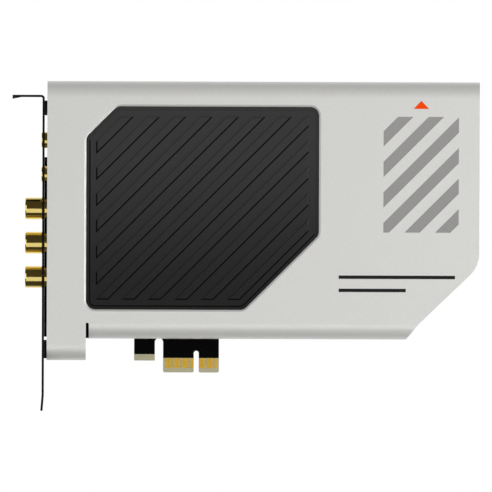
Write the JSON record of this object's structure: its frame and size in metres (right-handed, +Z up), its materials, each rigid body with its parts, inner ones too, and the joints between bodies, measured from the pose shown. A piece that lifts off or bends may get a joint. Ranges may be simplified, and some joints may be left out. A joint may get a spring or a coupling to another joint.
{
  "type": "pci express sound card",
  "caption": "Slim internal sound card with a folded silver shroud, ribbed black inset panel, black slot bracket, gold audio sockets and a short edge connector.",
  "frame": {"origin": "middle of the edge connector's key notch, on the board's middle plane, level with the connector's bottom edge", "axes": "+X from the bracket to the card's free end, -Y the component side that the shroud covers, +Z up, out of the slot"},
  "size_m": [0.1775, 0.0184, 0.1253],
  "materials": {
    "board": "black solder mask on glass-fibre laminate",
    "contact_gold": "gold plating, satin",
    "bracket_black": "matte black coat on sheet steel",
    "screw_steel": "bright zinc",
    "shroud_silver": "fine-grained silver powder coat",
    "standoff": "turned, nickel plated",
    "panel_black": "fine-textured black moulding",
    "tape": "adhesive foam",
    "socket_gold": "polished gold plating",
    "socket_insulator": "moulded black",
    "socket_body": "moulded black",
    "spring": "tinned bronze",
    "chip": "moulded epoxy",
    "oscillator_can": "plated lid",
    "lead": "tinned",
    "relay": "pale moulded case",
    "film_case": "red moulded case",
    "can": "satin",
    "inductor": "pressed iron powder",
    "ceramic": "ceramic",
    "resistor": "ceramic with black glaze",
    "header": "moulded black",
    "header_pin": "gold plating"
  },
  "bodies": {
    "root": {"circuit_board": "board", "edge_contacts": "contact_gold", "slot_bracket": "bracket_black", "bracket_screws": "screw_steel", "shroud": "shroud_silver", "shroud_standoffs": "standoff", "shroud_screws": "screw_steel", "inset_panel": "panel_black", "panel_tape": "tape", "coax_lower_shell": "socket_gold", "coax_lower_insulator": "socket_insulator", "coax_lower_contact": "socket_gold", "coax_lower_body": "socket_body", "coax_middle_shell": "socket_gold", "coax_middle_insulator": "socket_insulator", "coax_middle_contact": "socket_gold", "coax_middle_body": "socket_body", "coax_upper_shell": "socket_gold", "coax_upper_insulator": "socket_insulator", "coax_upper_contact": "socket_gold", "coax_upper_body": "socket_body", "line_jack_bushing": "socket_gold", "line_jack_body": "socket_body", "line_jack_springs": "spring", "headphone_jack_bushing": "socket_gold", "headphone_jack_body": "socket_body", "headphone_jack_springs": "spring", "audio_processor": "chip", "playback_converter": "chip", "recording_converter": "chip", "headphone_amplifier": "chip", "program_memory": "chip", "clock_oscillators": "oscillator_can", "operational_amplifiers": "chip", "amplifier_leads": "lead", "mute_relays": "relay", "film_capacitors": "film_case", "electrolytic_capacitors": "can", "power_regulators": "chip", "power_inductors": "inductor", "chip_capacitors": "ceramic", "chip_resistors": "resistor", "front_panel_header": "header", "front_panel_header_pins": "header_pin"}
  },
  "joints": []
}
